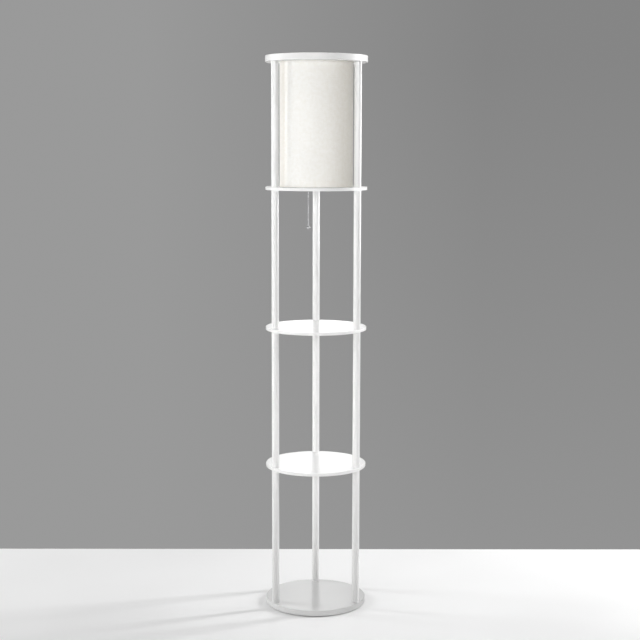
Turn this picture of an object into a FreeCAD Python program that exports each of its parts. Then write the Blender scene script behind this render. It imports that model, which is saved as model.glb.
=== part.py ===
"""Shelf floor lamp: three round shelves over a base, a drum shade under a top ring.

Millimetres, +Z up, +Y to the rear, origin on the floor under the middle of the base.
Three post lines stand at the left, at the right and at the rear, and every disc
interrupts them. Long tie bolts run through the left and right lines, and a hollow
lead pipe through the rear one. The pull switch in the socket is a forked lever that
a bead chain draws down.
"""
import FreeCAD
import Part
import Sketcher
import os
import re
import math

NODES = []
SHEET_PREFIX = "Sizes."
doc = FreeCAD.newDocument("shelf_floor_lamp")

# ---------------------------------------------------------------- driving sizes
SIZES = [
    # discs
    ("disc_radius", 145),
    ("base_thickness", 16),
    ("shelf_thickness", 9),
    ("ring_thickness", 18),
    ("ring_width", 33),
    ("shelf_bay_height", 392),
    ("lamp_bay_height", 349),
    # floor pads
    ("pad_height", 2),
    ("pad_side", 18),
    ("pad_setback", 17),
    ("pad_count", 6),
    # posts
    ("post_radius", 10.5),
    ("rim_margin", 0.9),
    ("rear_post_angle", 90),
    ("post_spacing_angle", 120),
    # tie bolts, lead pipe and nuts
    ("bolt_radius", 4),
    ("bolt_head_flats", 13),
    ("bolt_head_height", 5),
    ("pipe_radius", 5),
    ("pipe_bore_radius", 3.5),
    ("pipe_tail", 3),
    ("nut_flats", 12.7),
    ("nut_height", 4),
    ("bore_play", 0.3),
    ("thread_play", 0.1),
    ("ring_engagement", 12),
    ("blind_hole_spare", 1),
    ("counterbore_radius", 9),
    ("counterbore_depth", 10),
    # way of the mains lead
    ("bushing_radius", 4.3),
    ("bushing_bore_radius", 3.2),
    ("bushing_height", 5.5),
    ("rim_setback", 0.2),
    ("channel_width", 6),
    ("channel_depth", 4.6),
    ("channel_recess_radius", 9.5),
    ("cover_width", 24),
    ("cover_thickness", 1),
    ("cover_overhang", 4),
    ("cover_post_gap", 1.5),
    # shade and its fitter
    ("shade_clearance", 7.5),
    ("shade_wall", 0.8),
    ("shade_foot_gap", 0.3),
    ("shade_rise", 6),
    ("hub_radius", 14),
    ("fitter_thickness", 1.6),
    ("fitter_arm_width", 7),
    ("fitter_tab_height", 12),
    ("seat_gap", 0.3),
    # socket
    ("socket_radius", 16.5),
    ("socket_wall", 0.6),
    ("socket_floor", 0.8),
    ("socket_height", 62),
    ("nipple_stand", 6),
    ("core_rise", 14),
    ("core_height", 22),
    ("pocket_width", 5.2),
    ("pocket_height", 14),
    ("screw_shell_radius", 13.9),
    ("screw_shell_wall", 0.5),
    ("screw_shell_height", 24),
    ("contact_height", 2),
    ("contact_length", 9),
    ("contact_width", 4),
    ("contact_gauge", 0.5),
    # bulb
    ("cap_height", 25),
    ("cap_tip_radius", 5),
    ("cap_tip_height", 4),
    ("globe_radius", 30),
    ("globe_height", 85),
    # pull switch
    ("chain_offset", 23),
    ("pivot_offset", 11),
    ("lever_swing", 24),
    ("lever_half_thickness", 1.2),
    ("boss_radius", 3),
    ("axle_radius", 1),
    ("running_play", 0.05),
    ("fork_tip", 1.8),
    ("fork_half_width", 2.2),
    ("fork_slot_depth", 4),
    ("fork_slot_width", 1.6),
    ("spring_radius", 2.4),
    ("spring_width", 1),
    ("spout_half_width", 4),
    ("spout_wall", 0.8),
    ("spout_reach", 0.4),
    ("spout_drop", 14),
    ("spout_head_room", 1),
    # pull chain
    ("eyelet_radius", 4.2),
    ("eyelet_bore_radius", 2.4),
    ("eyelet_lip", 0.6),
    ("bead_radius", 1.6),
    ("bead_pitch", 4.5),
    ("link_radius", 0.45),
    ("stop_clearance", 0.3),
    ("coupling_radius", 2.2),
    ("coupling_drop", 5),
    ("ball_radius", 5.5),
    ("ball_drop", 108),
]

sheet = doc.addObject("Spreadsheet::Sheet", "Sizes")
for row, (alias, value) in enumerate(SIZES, start=1):
    sheet.set("A%d" % row, alias)
    sheet.set("B%d" % row, str(value))
    sheet.setAlias("B%d" % row, alias)
doc.recompute()


ALIASES = {alias for alias, value in SIZES}


def expr(text):
    """Name the sheet in front of every size that the text uses."""
    return re.sub(r"[a-z_]+", lambda word: SHEET_PREFIX * (word[0] in ALIASES) + word[0], text)


def size(alias):
    """The present value of one cell of the sheet."""
    return float(sheet.get(alias))


# ------------------------------------------------- heights and places, as formulas
BASE_TOP = "(pad_height + base_thickness)"
LOWER_SHELF = "(%s + shelf_bay_height)" % BASE_TOP
MIDDLE_SHELF = "(%s + shelf_thickness + shelf_bay_height)" % LOWER_SHELF
PLATFORM = "(%s + shelf_thickness + shelf_bay_height)" % MIDDLE_SHELF
PLATFORM_TOP = "(%s + shelf_thickness)" % PLATFORM
RING = "(%s + lamp_bay_height)" % PLATFORM_TOP

POST_CIRCLE = "(disc_radius - post_radius - rim_margin)"
PAD_CIRCLE = "(disc_radius - pad_setback)"
BOLT_HOLE = "(bolt_radius + bore_play)"
PIPE_HOLE = "(pipe_radius + bore_play)"
HEAD_SEAT = "(pad_height + counterbore_depth)"
TIE_TOP = "(%s + ring_engagement)" % RING

FITTER_TOP = "(%s + fitter_thickness)" % PLATFORM_TOP
SOCKET_SEAT = "(%s + nut_height)" % FITTER_TOP
CORE_FOOT = "(%s + core_rise)" % SOCKET_SEAT
CORE_TOP = "(%s + core_height)" % CORE_FOOT
CORE_RADIUS = "(socket_radius - socket_wall - seat_gap)"
SCREW_SHELL_BORE = "(screw_shell_radius - screw_shell_wall)"
CAP_RADIUS = "(%s - seat_gap)" % SCREW_SHELL_BORE
CAP_FOOT = "(%s + contact_height + seat_gap)" % CORE_TOP
RING_BORE = "(disc_radius - ring_width)"
# the shade rises into the ring's bore with a clearance all round
SHADE_RADIUS = "(%s - shade_clearance)" % RING_BORE
SHADE_BORE = "(%s - shade_wall)" % SHADE_RADIUS

PIVOT_Z = "(%s + core_height / 2)" % CORE_FOOT
# the fork's mean reach is the chain's distance from the pivot
LEVER_ARM = "((chain_offset - pivot_offset) * 2 / (1 + cos(lever_swing)))"
FORK_Z = "(%s + %s * sin(lever_swing))" % (PIVOT_Z, LEVER_ARM)
# a bead clears the tilted fork by the stop clearance
STOP_DROP = "((lever_half_thickness + bead_radius) / cos(lever_swing) + stop_clearance)"
COUPLING_Z = "(%s - coupling_drop)" % PLATFORM
BALL_Z = "(%s - ball_drop)" % PLATFORM

LEFT, RIGHT, REAR = "left", "right", "rear"
LINES = {REAR: "rear_post_angle",
         LEFT: "(rear_post_angle + post_spacing_angle)",
         RIGHT: "(rear_post_angle + 2 * post_spacing_angle)"}
HOLES = {REAR: PIPE_HOLE, LEFT: BOLT_HOLE, RIGHT: BOLT_HOLE}
# hidden bores and turned pieces are drawn with this many flats, to keep them light
BORE_SIDES = 12
SLEEVE_SIDES = 24


def line_x(line):
    return "(%s * cos(%s))" % (POST_CIRCLE, LINES[line])


def line_y(line):
    return "(%s * sin(%s))" % (POST_CIRCLE, LINES[line])


# --------------------------------------------------------------- drawing helpers
def bind(obj, prop, text):
    obj.setExpression(prop, expr(text))


def place(obj, x=None, y=None, z=None):
    """Bind an object's place to formulas."""
    for axis, text in (("x", x), ("y", y), ("z", z)):
        if text is not None:
            bind(obj, "Placement.Base." + axis, text)


def keep(obj, label):
    """Make an object one of the lamp's nodes."""
    obj.Label = label
    NODES.append(obj)
    return obj


def new_body(name):
    return doc.addObject("PartDesign::Body", name)


def new_sketch(body, role, name, lift=None):
    """A sketch on one of the body's own planes, lifted along that plane's normal."""
    sketch = body.newObject("Sketcher::SketchObject", name)
    plane = [part for part in body.Origin.OriginFeatures if part.Role == role][0]
    sketch.AttachmentSupport = [(plane, "")]
    sketch.MapMode = "FlatFace"
    if lift is not None:
        bind(sketch, "AttachmentOffset.Base.z", lift)
    return sketch


def fix(sketch, kind, geometry, point, text):
    """Hold a point's X or Y distance from the sketch's origin at a formula."""
    index = sketch.addConstraint(Sketcher.Constraint(kind, -1, 1, geometry, point, 1.0))
    name = "%s_%d_%d" % (kind, geometry, point)
    sketch.renameConstraint(index, name)
    bind(sketch, "Constraints." + name, text)


def circle(sketch, radius, x=None, y=None):
    """A circle at the origin, or about a point given by formulas."""
    start = FreeCAD.Vector(1, 1, 0) if x is not None else FreeCAD.Vector(0, 0, 0)
    index = sketch.addGeometry(Part.Circle(start, FreeCAD.Vector(0, 0, 1), 1.0))
    if x is None:
        sketch.addConstraint(Sketcher.Constraint("Coincident", index, 3, -1, 1))
    else:
        fix(sketch, "DistanceX", index, 3, x)
        fix(sketch, "DistanceY", index, 3, y)
    constraint = sketch.addConstraint(Sketcher.Constraint("Radius", index, 1.0))
    name = "radius_%d" % index
    sketch.renameConstraint(constraint, name)
    bind(sketch, "Constraints." + name, radius)


def outline(sketch, points):
    """A closed outline of straight lines through points given by pairs of formulas."""
    count = len(points)
    spots = [FreeCAD.Vector(evaluate(x), evaluate(y), 0) for x, y in points]
    first = None
    for i in range(count):
        line = Part.LineSegment(spots[i], spots[(i + 1) % count])
        index = sketch.addGeometry(line)
        first = index if first is None else first
    for i in range(count):
        after = first + (i + 1) % count
        sketch.addConstraint(Sketcher.Constraint("Coincident", first + i, 2, after, 1))
    for i, (x, y) in enumerate(points):
        fix(sketch, "DistanceX", first + i, 1, x)
        fix(sketch, "DistanceY", first + i, 1, y)


def evaluate(text):
    """The present value of a formula, to start a sketch near its solution."""
    return float(sheet.evalExpression(expr(text)))


def faceted_hole(sketch, radius, x="0", y="0"):
    """A hole of flat facets that touch a circle, about a point given by formulas."""
    corner = "%s / cos(180 / %d)" % (radius, BORE_SIDES)
    turns = [360 * i // BORE_SIDES for i in range(BORE_SIDES)]
    outline(sketch, [("%s + %s * cos(%d)" % (x, corner, turn),
                      "%s + %s * sin(%d)" % (y, corner, turn)) for turn in turns])


def pad(body, sketch, length, midplane=False):
    feature = body.newObject("PartDesign::Pad", "Pad")
    feature.Profile = sketch
    feature.Midplane = midplane
    bind(feature, "Length", length)
    return feature


def pocket(body, sketch, depth=None, midplane=False):
    """Cut upward from the sketch, right through where no depth is given."""
    feature = body.newObject("PartDesign::Pocket", "Pocket")
    feature.Profile = sketch
    feature.Reversed = True
    feature.Midplane = midplane
    if depth is None:
        feature.Type = "ThroughAll"
    else:
        bind(feature, "Length", depth)
    return feature


def turned(label, sides, profile):
    """A small turned piece in flat facets, from (radius, height) formulas, foot first."""
    rings = []
    for radius, z in profile:
        r, height = evaluate(radius), evaluate(z)
        rings.append([FreeCAD.Vector(r * math.cos(2 * math.pi * i / sides),
                                     r * math.sin(2 * math.pi * i / sides), height)
                      for i in range(sides)])
    faces = [Part.Face(Part.makePolygon(ring + ring[:1])) for ring in (rings[0], rings[-1])]
    for low, high in zip(rings, rings[1:]):
        for i in range(sides):
            after = (i + 1) % sides
            corners = [low[i], low[after], high[after], high[i], low[i]]
            faces.append(Part.Face(Part.makePolygon(corners)))
    shell = Part.makeShell(faces)
    shell.sewShape()
    solid = Part.makeSolid(shell)
    if solid.Volume < 0:
        solid.reverse()
    feature = doc.addObject("Part::Feature", label)
    feature.Shape = solid
    return keep(feature, label)


def cylinder(name, radius, height, z=None, x=None, y=None):
    solid = doc.addObject("Part::Cylinder", name)
    bind(solid, "Radius", radius)
    bind(solid, "Height", height)
    place(solid, x, y, z)
    return solid


def box(name, length, width, height, x, y, z):
    solid = doc.addObject("Part::Box", name)
    for prop, text in (("Length", length), ("Width", width), ("Height", height)):
        bind(solid, prop, text)
    place(solid, x, y, z)
    return solid


def prism(name, sides, radius, height, z, x="0", y="0"):
    """An upright prism by the radius of the circle that its flats touch."""
    solid = doc.addObject("Part::Prism", name)
    solid.Polygon = sides
    bind(solid, "Circumradius", "%s / cos(180 / %d)" % (radius, sides))
    bind(solid, "Height", height)
    place(solid, x, y, z)
    return solid


def socket_prism(name, radius, height, z):
    """A prism on the socket's axis, turned so that the spout meets a flat."""
    solid = prism(name, SLEEVE_SIDES, radius, height, z)
    solid.Placement.Rotation = FreeCAD.Rotation(FreeCAD.Vector(0, 0, 1), 180 / SLEEVE_SIDES)
    return solid


def hexagon(name, flats, height, z, x="0", y="0"):
    """A hexagonal prism by its width across flats."""
    return prism(name, 6, "%s / 2" % flats, height, z, x, y)


def tube(name, sides, radius, bore, height, z, x="0"):
    """A short tube of flat facets, for what is hidden inside the lamp."""
    return cut(name, prism(name + "_outside", sides, radius, height, z, x),
               prism(name + "_inside", sides, bore, height, z, x))


def cut(name, base, tool):
    result = doc.addObject("Part::Cut", name)
    result.Base = base
    result.Tool = tool
    return result


def fuse(name, parts):
    result = doc.addObject("Part::MultiFuse", name)
    result.Shapes = parts
    return result


def group(name, parts):
    """Separate solids that share one node."""
    result = doc.addObject("Part::Compound", name)
    result.Links = parts
    return result


# --------------------------------------------------------------------- the discs
def disc(label, thickness, z):
    """A round board with a hole for each post line."""
    body = new_body(label)
    rim = new_sketch(body, "XY_Plane", label + "_rim")
    circle(rim, "disc_radius")
    pad(body, rim, thickness)
    holes = new_sketch(body, "XY_Plane", label + "_holes")
    for line in LINES:
        faceted_hole(holes, HOLES[line], line_x(line), line_y(line))
    pocket(body, holes)
    place(body, z=z)
    return keep(body, label)


def base_disc():
    """The base, counterbored underneath for the bolt heads and the pipe's nut."""
    body = disc("base_disc", "base_thickness", "pad_height")
    sinks = new_sketch(body, "XY_Plane", "base_counterbores")
    for line in LINES:
        faceted_hole(sinks, "counterbore_radius", line_x(line), line_y(line))
    pocket(body, sinks, "counterbore_depth")
    # the lead leaves the rear counterbore through the rim
    outlet = new_sketch(body, "XZ_Plane", "base_lead_outlet")
    circle(outlet, "bushing_radius", "0", "bushing_height")
    bind(outlet, "AttachmentOffset.Base.z", "0 - %s" % POST_CIRCLE)
    pocket(body, outlet).Reversed = False


def lamp_platform():
    """The platform under the light, with the lead's channel in its underside."""
    body = disc("lamp_platform", "shelf_thickness", PLATFORM)
    middle = new_sketch(body, "XY_Plane", "platform_middle_holes")
    faceted_hole(middle, PIPE_HOLE)
    circle(middle, "eyelet_radius + running_play", "0 - chain_offset", "0")
    pocket(body, middle)
    recess = new_sketch(body, "XY_Plane", "platform_nut_recess")
    faceted_hole(recess, "channel_recess_radius")
    pocket(body, recess, "channel_depth")
    channel = new_sketch(body, "XY_Plane", "platform_channel")
    half = "channel_width / 2"
    outline(channel, [("0 - %s" % half, "0"), (half, "0"),
                      (half, POST_CIRCLE), ("0 - %s" % half, POST_CIRCLE)])
    pocket(body, channel, "channel_depth")


def top_ring():
    """The ring over the shade, with blind holes for the tie bolts and the pipe."""
    body = new_body("top_ring")
    rim = new_sketch(body, "XY_Plane", "ring_rim")
    circle(rim, "disc_radius")
    circle(rim, RING_BORE)
    pad(body, rim, "ring_thickness")
    holes = new_sketch(body, "XY_Plane", "ring_holes")
    for line in LINES:
        faceted_hole(holes, HOLES[line], line_x(line), line_y(line))
    pocket(body, holes, "ring_engagement + blind_hole_spare")
    place(body, z=RING)
    keep(body, "top_ring")


def floor_pads():
    """Square felt pads under the base, clear of the counterbores."""
    pads = []
    for i in range(int(size("pad_count"))):
        turn = "%d * 360 / pad_count" % i
        pads.append(box("pad_%d" % i, "pad_side", "pad_side", "pad_height",
                        "%s * cos(%s) - pad_side / 2" % (PAD_CIRCLE, turn),
                        "%s * sin(%s) - pad_side / 2" % (PAD_CIRCLE, turn), "0"))
    keep(group("pads", pads), "floor_pads")


# --------------------------------------------------------------------- the posts
BAYS = [("1", BASE_TOP, "shelf_bay_height"),
        ("2", "(%s + shelf_thickness)" % LOWER_SHELF, "shelf_bay_height"),
        ("3", "(%s + shelf_thickness)" % MIDDLE_SHELF, "shelf_bay_height"),
        ("4", PLATFORM_TOP, "lamp_bay_height")]


def post(line, number, foot, length):
    """One bored pole between two discs."""
    label = "post_%s_%s" % (line, number)
    spot = (line_x(line), line_y(line))
    pole = cylinder(label + "_pole", "post_radius", length, foot, *spot)
    bore = prism(label + "_bore", BORE_SIDES, HOLES[line], length, foot, *spot)
    keep(cut(label + "_bored", pole, bore), label)


def tie_bolts():
    """Two long bolts, heads down in the base, which end in the top ring."""
    bolts = []
    for line in (LEFT, RIGHT):
        spot = (line_x(line), line_y(line))
        shank = cylinder("shank_" + line, "bolt_radius", "%s - %s" % (TIE_TOP, HEAD_SEAT),
                         HEAD_SEAT, *spot)
        head = hexagon("head_" + line, "bolt_head_flats", "bolt_head_height",
                       "%s - bolt_head_height" % HEAD_SEAT, *spot)
        bolts.append(fuse("bolt_" + line, [shank, head]))
    keep(group("bolts", bolts), "tie_bolts")


def lead_pipe():
    """The rear line's hollow pipe, slotted where the lead enters it at the platform."""
    spot = (line_x(REAR), line_y(REAR))
    foot = "%s - nut_height - pipe_tail" % HEAD_SEAT
    length = "%s - (%s)" % (TIE_TOP, foot)
    pipe = cut("pipe_tube", cylinder("pipe_outside", "pipe_radius", length, foot, *spot),
               cylinder("pipe_inside", "pipe_bore_radius", length, foot, *spot))
    slot = box("pipe_slot", "channel_width / 2", "pipe_radius", "channel_depth",
               "%s - channel_width / 4" % spot[0], "%s - pipe_radius" % spot[1], PLATFORM)
    keep(cut("pipe", pipe, slot), "lead_pipe")


def nut(name, z, x="0", y="0"):
    bore = prism(name + "_bore", BORE_SIDES, "(pipe_radius + thread_play)", "nut_height",
                 z, x, y)
    return cut(name, hexagon(name + "_hexagon", "nut_flats", "nut_height", z, x, y), bore)


def pipe_nuts():
    """The three lock nuts: lead pipe, under the platform, over the shade fitter."""
    keep(group("nuts", [
        nut("pipe_nut", "%s - nut_height" % HEAD_SEAT, line_x(REAR), line_y(REAR)),
        nut("platform_nut", "%s + channel_depth - nut_height" % PLATFORM),
        nut("fitter_nut", FITTER_TOP)]), "lock_nuts")


def lead_bushing():
    """The sleeve in the base's rim that the mains lead comes out of."""
    body = new_body("lead_bushing")
    section = new_sketch(body, "XZ_Plane", "bushing_section")
    circle(section, "bushing_radius")
    circle(section, "bushing_bore_radius")
    # it reaches in to the corners of the pipe's nut
    pad(body, section, "disc_radius - rim_setback - %s - nut_flats / 2 / cos(30) - seat_gap"
        % POST_CIRCLE)
    place(body, y="disc_radius - rim_setback", z="pad_height + bushing_height")
    keep(body, "lead_bushing")


def channel_cover():
    """The strip that closes the lead's channel under the platform."""
    keep(box("cover", "cover_width",
             "%s - post_radius - cover_post_gap + channel_recess_radius + cover_overhang"
             % POST_CIRCLE,
             "cover_thickness", "0 - cover_width / 2",
             "0 - channel_recess_radius - cover_overhang",
             "%s - cover_thickness" % PLATFORM), "channel_cover")


# ---------------------------------------------------------- the shade and fitter
def shade_drum():
    """The fabric drum, stiffened by its liner, which rises into the ring's bore."""
    body = new_body("shade_drum")
    section = new_sketch(body, "XY_Plane", "shade_section")
    circle(section, SHADE_RADIUS)
    circle(section, SHADE_BORE)
    pad(body, section, "lamp_bay_height - shade_foot_gap + shade_rise")
    place(body, z="%s + shade_foot_gap" % PLATFORM_TOP)
    keep(body, "shade_drum")


def shade_fitter():
    """A hub and three flat arms, each turned up inside the shade's lower edge."""
    reach = "(%s - seat_gap)" % SHADE_BORE
    half = "fitter_arm_width / 2"
    body = new_body("shade_fitter")
    hub = new_sketch(body, "XY_Plane", "fitter_hub")
    circle(hub, "hub_radius")
    pad(body, hub, "fitter_thickness")
    side = new_sketch(body, "XZ_Plane", "fitter_arm_side")
    outline(side, [("0", "0"), (reach, "0"), (reach, "fitter_tab_height"),
                   ("%s - fitter_thickness" % reach, "fitter_tab_height"),
                   ("%s - fitter_thickness" % reach, "fitter_thickness"),
                   ("0", "fitter_thickness")])
    arm = pad(body, side, "2 * %s" % half, midplane=True)
    arms = body.newObject("PartDesign::PolarPattern", "PolarPattern")
    arms.Originals = [arm]
    arms.Axis = (hub, ["N_Axis"])
    arms.Occurrences = 3
    body.Tip = arms
    bore = new_sketch(body, "XY_Plane", "fitter_bore")
    circle(bore, PIPE_HOLE)
    pocket(body, bore)
    place(body, z=PLATFORM_TOP)
    bind(body, "Placement.Rotation.Angle", "rear_post_angle")
    keep(body, "shade_fitter")


# ------------------------------------------------------------------- the socket
def socket_nipple():
    foot = "%s + rim_setback" % PLATFORM
    length = "%s + socket_floor + nipple_stand - (%s)" % (SOCKET_SEAT, foot)
    keep(tube("nipple", BORE_SIDES, "pipe_radius", "pipe_bore_radius", length, foot),
         "socket_nipple")


def socket_shell():
    """The metal cup of the socket, open at the left for the switch lever."""
    cup = socket_prism("shell_outside", "socket_radius", "socket_height", SOCKET_SEAT)
    room = socket_prism("shell_inside", "(socket_radius - socket_wall)", "socket_height",
                        "%s + socket_floor" % SOCKET_SEAT)
    entry = prism("shell_entry", BORE_SIDES, PIPE_HOLE, "socket_floor", SOCKET_SEAT)
    slot = box("shell_slot", "2 * socket_radius - chain_offset",
               "2 * (spout_half_width - spout_wall)", "pocket_height",
               "0 - chain_offset", "spout_wall - spout_half_width",
               "%s - pocket_height / 2" % PIVOT_Z)
    keep(cut("shell", cut("shell_cup", cup, room), fuse("shell_openings", [entry, slot])),
         "socket_shell")


def socket_core():
    """The moulded core, with the pocket that the switch lever turns in."""
    block = socket_prism("core_block", CORE_RADIUS, "core_height", CORE_FOOT)
    depth = "socket_radius - pivot_offset + boss_radius + seat_gap"
    hollow = box("core_pocket", depth, "pocket_width", "pocket_height",
                 "0 - socket_radius", "0 - pocket_width / 2",
                 "%s - pocket_height / 2" % PIVOT_Z)
    keep(cut("core", block, hollow), "socket_core")


def screw_shell():
    """The threaded sleeve that takes the bulb's cap, drawn at its thread's crest."""
    keep(tube("sleeve", SLEEVE_SIDES, "screw_shell_radius", SCREW_SHELL_BORE,
              "screw_shell_height", CORE_TOP), "screw_shell")


def centre_contact():
    """A spring tongue on the core, under the tip of the bulb's cap."""
    body = new_body("centre_contact")
    side = new_sketch(body, "XZ_Plane", "contact_side")
    half = "contact_length / 2"
    outline(side, [("0 - %s" % half, "0"), (half, "0"), (half, "contact_gauge"),
                   ("0", "contact_gauge"),
                   ("contact_gauge", "contact_height - contact_gauge"),
                   (half, "contact_height - contact_gauge"), (half, "contact_height"),
                   ("0 - contact_gauge", "contact_height"),
                   ("0 - contact_gauge", "contact_gauge"), ("0 - %s" % half, "contact_gauge")])
    pad(body, side, "contact_width", midplane=True)
    place(body, z=CORE_TOP)
    keep(body, "centre_contact")


# --------------------------------------------------------------------- the bulb
GLOBE_TURNS = range(-24, 90, 16)


def bulb():
    """A screw cap, and a globe on a tapering neck."""
    turned("bulb_cap", SLEEVE_SIDES, [
        ("cap_tip_radius", CAP_FOOT),
        (CAP_RADIUS, "%s + cap_tip_height" % CAP_FOOT),
        (CAP_RADIUS, "%s + cap_height" % CAP_FOOT)])
    foot = "(%s + cap_height)" % CAP_FOOT
    middle = "(%s + globe_height - globe_radius)" % foot
    steps = [("globe_radius * cos(%d)" % turn, "%s + globe_radius * sin(%d)" % (middle, turn))
             for turn in GLOBE_TURNS]
    turned("bulb_globe", SLEEVE_SIDES, [(CAP_RADIUS, foot)] + steps)


# -------------------------------------------------------------- the pull switch
def switch_lever():
    """The forked lever, drawn level and stored raised by its half swing."""
    body = new_body("switch_lever")
    half = "lever_half_thickness"
    tip = "(%s + fork_tip)" % LEVER_ARM
    boss = new_sketch(body, "XZ_Plane", "lever_boss")
    circle(boss, "boss_radius")
    pad(body, boss, "2 * %s" % half, midplane=True)
    side = new_sketch(body, "XZ_Plane", "lever_arm_side")
    outline(side, [("0", "0 - %s" % half), ("0", half), ("0 - %s" % tip, half),
                   ("0 - %s" % tip, "0 - %s" % half)])
    pad(body, side, "2 * %s" % half, midplane=True)
    inner = "fork_slot_depth / 2 - %s" % LEVER_ARM
    head = new_sketch(body, "XZ_Plane", "lever_fork_side")
    outline(head, [("%s + %s" % (inner, half), "0 - %s" % half),
                   ("%s + %s" % (inner, half), half),
                   ("0 - %s" % tip, half), ("0 - %s" % tip, "0 - %s" % half)])
    pad(body, head, "2 * fork_half_width", midplane=True)
    bore = new_sketch(body, "XZ_Plane", "lever_bore")
    circle(bore, "axle_radius + running_play")
    pocket(body, bore, midplane=True)
    fork = new_sketch(body, "XY_Plane", "lever_fork")
    edge = "fork_slot_width / 2"
    outline(fork, [(inner, "0 - %s" % edge), (inner, edge), ("0 - %s - 1" % tip, edge),
                   ("0 - %s - 1" % tip, "0 - %s" % edge)])
    pocket(body, fork, midplane=True)
    body.Placement.Rotation = FreeCAD.Rotation(FreeCAD.Vector(0, 1, 0), size("lever_swing"))
    bind(body, "Placement.Rotation.Angle", "lever_swing")
    place(body, "0 - pivot_offset", "0", PIVOT_Z)
    keep(body, "switch_lever")


def round_on_pivot(name, radius, width, start):
    """A cylinder along Y on the lever's pivot, from its least Y."""
    solid = doc.addObject("Part::Cylinder", name)
    bind(solid, "Radius", radius)
    bind(solid, "Height", width)
    solid.Placement.Rotation = FreeCAD.Rotation(FreeCAD.Vector(1, 0, 0), -90)
    place(solid, "0 - pivot_offset", start, PIVOT_Z)
    return solid


def lever_axle():
    keep(round_on_pivot("axle", "axle_radius", "pocket_width", "0 - pocket_width / 2"),
         "lever_axle")


def return_spring():
    """The spring wound on the axle beside the lever, by its outer shape."""
    start = "lever_half_thickness + seat_gap / 2"
    winding = round_on_pivot("winding", "spring_radius", "spring_width", start)
    eye = round_on_pivot("winding_eye", "axle_radius + running_play", "spring_width", start)
    keep(cut("spring", winding, eye), "return_spring")


def chain_spout():
    """The hood on the socket's side that houses the fork and guides the chain down."""
    foot = "%s - spout_drop" % PIVOT_Z
    room = "(spout_drop + %s - %s + %s + bead_radius + spout_head_room)" % (
        FORK_Z, PIVOT_Z, STOP_DROP)
    hood = rounded_strip("hood", "spout_half_width", "%s + spout_wall" % room, foot)
    inside = rounded_strip("hood_room", "(spout_half_width - spout_wall)", room, foot)
    socket = socket_prism("spout_seat", "socket_radius", "socket_height", SOCKET_SEAT)
    keep(cut("spout", hood, fuse("spout_room", [inside, socket])), "chain_spout")


def rounded_strip(name, half, height, z):
    """An upright strip from inside the socket outward, ending in a half round."""
    end = "(chain_offset + spout_reach)"
    strip = box(name + "_strip", "%s - socket_radius + spout_half_width" % end,
                "2 * %s" % half, height, "0 - %s" % end, "0 - %s" % half, z)
    return fuse(name, [strip, cylinder(name + "_end", half, height, z, "0 - %s" % end, "0")])


# --------------------------------------------------------------- the pull chain
BEAD_SIDES = 6
BALL_SIDES = 12
# heights of the rings of facets: shares of a bead's radius, degrees on a ball
BEAD_END = 0.95
BEAD_BAND = 0.35
BALL_TURNS = (-70, -40, -14, 14, 40, 70)
COUPLING_TURNS = (-70, -25, 25, 70)


def bead_rings(centre):
    """The rings of one bead, with the link's radius at both its ends."""
    return [(radius, "%s + %g * bead_radius" % (centre, share))
            for radius, share in (("link_radius", -BEAD_END), ("bead_radius", -BEAD_BAND),
                                  ("bead_radius", BEAD_BAND), ("link_radius", BEAD_END))]


def bead_run(first, last):
    """The beads from the first, a pitch apart, down to the last that fits; foot first."""
    room = evaluate("(%s - (%s)) / bead_pitch" % (first, last))
    rings = []
    for i in range(int(room), -1, -1):
        rings += bead_rings("%s - %d * bead_pitch" % (first, i))
    return rings


def ball_rings(radius, z, turns):
    return [("%s * cos(%d)" % (radius, turn), "%s + %s * sin(%d)" % (z, radius, turn))
            for turn in turns]


def pull_chain():
    """Two lengths of chain that meet in a coupling, and the ball at the end."""
    stop = "(%s + %s)" % (FORK_Z, STOP_DROP)
    below = "(%s - %s)" % (FORK_Z, STOP_DROP)
    joint = "(%s + coupling_radius + stop_clearance)" % COUPLING_Z
    start = "(%s - coupling_radius - stop_clearance)" % COUPLING_Z
    ball_top = "(%s + ball_radius * sin(%d))" % (BALL_Z, BALL_TURNS[-1])
    pieces = [
        turned("upper_chain", BEAD_SIDES, [("link_radius", joint)]
               + bead_run(below, "%s + bead_radius" % joint) + bead_rings(stop)),
        turned("chain_coupling", BALL_SIDES,
               ball_rings("coupling_radius", COUPLING_Z, COUPLING_TURNS)),
        turned("lower_chain", BEAD_SIDES, [("link_radius", ball_top)]
               + bead_run("%s - bead_radius" % start, "%s + bead_radius" % ball_top)
               + [("link_radius", start)]),
        turned("pull_ball", BALL_SIDES,
               ball_rings("ball_radius", BALL_Z, BALL_TURNS))]
    for piece in pieces:
        place(piece, x="0 - chain_offset")


def chain_eyelet():
    """The sleeve in the platform that the chain runs through."""
    foot = "%s - eyelet_lip" % PLATFORM
    length = "shelf_thickness + 2 * eyelet_lip"
    keep(tube("eyelet", SLEEVE_SIDES, "eyelet_radius", "eyelet_bore_radius", length, foot,
              "0 - chain_offset"), "chain_eyelet")


# --------------------------------------------------------------- build the lamp
floor_pads()
base_disc()
disc("lower_shelf", "shelf_thickness", LOWER_SHELF)
disc("middle_shelf", "shelf_thickness", MIDDLE_SHELF)
lamp_platform()
top_ring()
for post_line in LINES:
    for bay in BAYS:
        post(post_line, *bay)
tie_bolts()
lead_pipe()
pipe_nuts()
lead_bushing()
channel_cover()
shade_drum()
shade_fitter()
socket_nipple()
socket_shell()
socket_core()
screw_shell()
centre_contact()
bulb()
switch_lever()
lever_axle()
return_spring()
chain_spout()
chain_eyelet()
pull_chain()
doc.recompute()

# ------------------------------------------------------------- check and export
for obj in doc.Objects:
    if "Invalid" in obj.State or "Error" in obj.State:
        raise RuntimeError("%s did not build: %s" % (obj.Label, obj.State))
for obj in NODES:
    if obj.Shape.isNull() or not obj.Shape.isValid():
        raise RuntimeError("%s has no sound shape" % obj.Label)

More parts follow.
